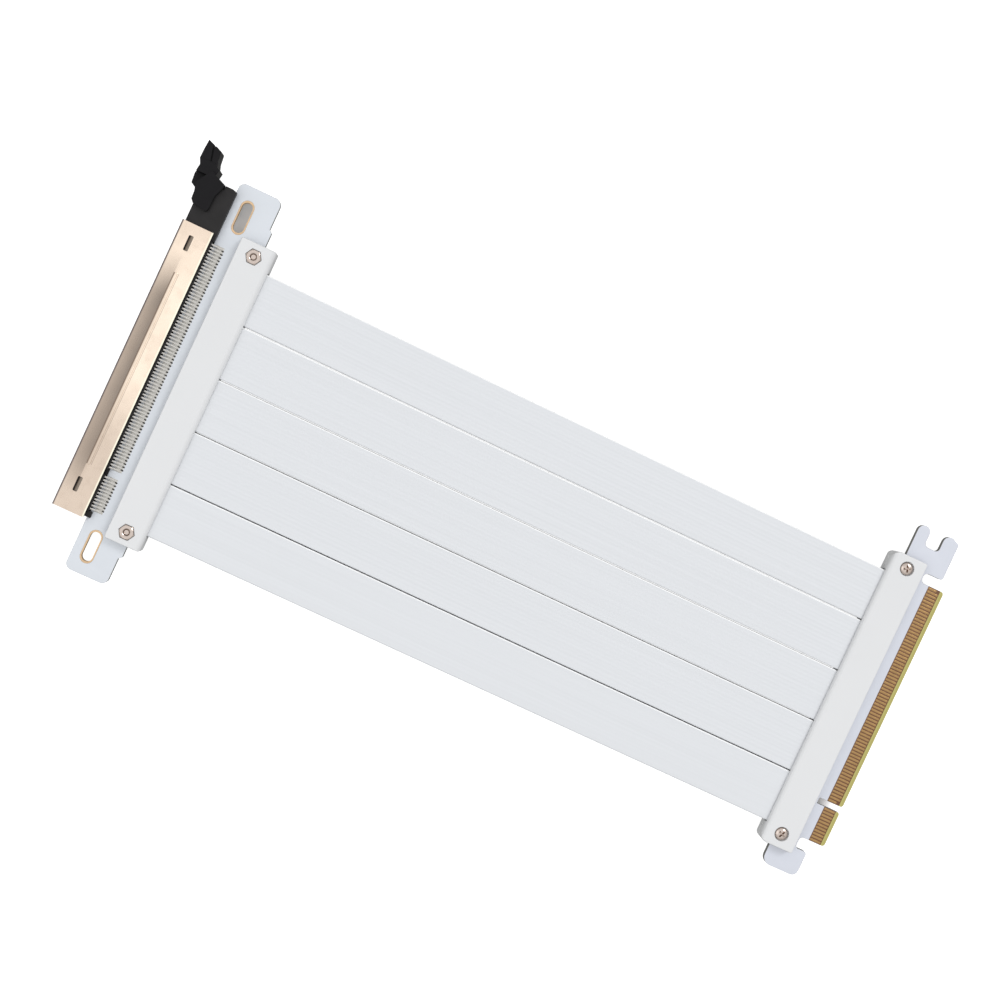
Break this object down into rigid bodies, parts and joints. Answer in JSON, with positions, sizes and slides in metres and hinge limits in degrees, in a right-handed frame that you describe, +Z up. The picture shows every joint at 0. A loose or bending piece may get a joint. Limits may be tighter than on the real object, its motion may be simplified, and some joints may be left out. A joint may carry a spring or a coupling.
{
  "type": "gpu riser cable",
  "caption": "Flat white riser cable: a steel-jacketed card slot with a swinging latch, parallel ribbons in two layers and a gold-finger plug board, joined by screwed covers.",
  "frame": {"origin": "middle of the bounding box, on the surface the cable lies on", "axes": "+X along the cable from the slot to the plug, +Y across it towards the latch, +Z up out of the face with the slot end's nuts"},
  "size_m": [0.2512, 0.1282, 0.0086],
  "materials": {
    "shell_white": "satin white moulded plastic",
    "ribbon_white": "matte white extruded jacket, very faint lengthwise ribs",
    "board_white": "white solder mask, semi-gloss",
    "housing_black": "fine moulded black",
    "latch_black": "fine moulded black",
    "jacket_steel": "thin rolled steel, warm grey, soft sheen",
    "screw_steel": "nickel-plated steel",
    "contact_metal": "tinned contact tails",
    "gold_plate": "gold plating on the board"
  },
  "bodies": {
    "cable": {"slot_board": "board_white", "slot_housing": "housing_black", "slot_jacket": "jacket_steel", "contact_row_top": "contact_metal", "contact_row_bottom": "contact_metal", "slot_cover_top": "shell_white", "slot_cover_bottom": "shell_white", "slot_screw_a": "screw_steel", "slot_screw_b": "screw_steel", "slot_nut_a": "screw_steel", "slot_nut_b": "screw_steel", "ribbon_top_1": "ribbon_white", "ribbon_top_2": "ribbon_white", "ribbon_top_3": "ribbon_white", "ribbon_top_4": "ribbon_white", "ribbon_top_5": "ribbon_white", "ribbon_bottom_1": "ribbon_white", "ribbon_bottom_2": "ribbon_white", "ribbon_bottom_3": "ribbon_white", "ribbon_bottom_4": "ribbon_white", "ribbon_bottom_5": "ribbon_white", "plug_board": "board_white", "plug_cover_top": "shell_white", "plug_cover_bottom": "shell_white", "plug_screw_a": "screw_steel", "plug_screw_b": "screw_steel", "plug_nut_a": "screw_steel", "plug_nut_b": "screw_steel"},
    "latch": {"slot_latch": "latch_black"}
  },
  "joints": [
    {"name": "latch_hinge", "type": "hinge", "parent": "cable", "child": "latch", "pos_m": [-0.11983, 0.04766, 0.0042], "axis": [0, 0, 1], "range_deg": [-25, 0]}
  ]
}
